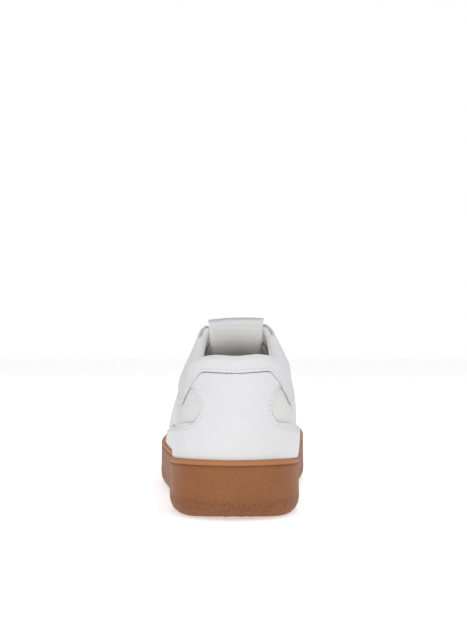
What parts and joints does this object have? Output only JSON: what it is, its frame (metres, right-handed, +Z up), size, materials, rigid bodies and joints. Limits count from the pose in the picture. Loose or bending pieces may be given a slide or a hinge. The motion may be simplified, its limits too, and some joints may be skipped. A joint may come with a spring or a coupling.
{
  "type": "court shoe",
  "caption": "Low lace-up court shoe for the left foot: white leather upper with a padded collar and tongue on a stitched gum rubber cup sole.",
  "frame": {"origin": "centre of the bounding box at floor level", "axes": "+Y from heel to toe, +X to the inner (medial) side, +Z up"},
  "size_m": [0.1002, 0.295, 0.1121],
  "materials": {
    "leather": "smooth full-grain leather with a fine pebble, soft satin sheen",
    "lining": "brushed grey-beige textile",
    "gum": "matt gum rubber with a speckled grain",
    "foam": "open-cell foam, hidden",
    "board": "pressed fibre board, hidden",
    "stiffener": "thermoplastic sheet, hidden",
    "lace": "flat woven cotton",
    "tip": "clear-coated film tip"
  },
  "bodies": {
    "shoe": {"outsole_cup": "gum", "midsole_foam": "foam", "insole_board": "board", "sockliner": "lining", "heel_lining": "lining", "quarter_lining_lateral": "lining", "quarter_lining_medial": "lining", "vamp_lining": "lining", "toe_puff": "stiffener", "heel_counter": "stiffener", "collar_foam": "foam", "quarter_lateral": "leather", "quarter_medial": "leather", "eyestay_lateral": "leather", "eyestay_medial": "leather", "vamp": "leather", "toe_cap": "leather", "collar_panel": "leather", "heel_panel": "leather", "lace": "lace", "aglet_lateral": "tip", "aglet_medial": "tip"},
    "tongue": {"tongue_leather": "leather", "tongue_foam": "foam", "tongue_lining": "lining"}
  },
  "joints": [
    {"name": "tongue_tilt", "type": "hinge", "parent": "shoe", "child": "tongue", "pos_m": [0.0015, 0.0563, 0.0595], "axis": [1, 0, 0], "range_deg": [0, 10], "stiffness_Nm_per_rad": 0.3}
  ]
}
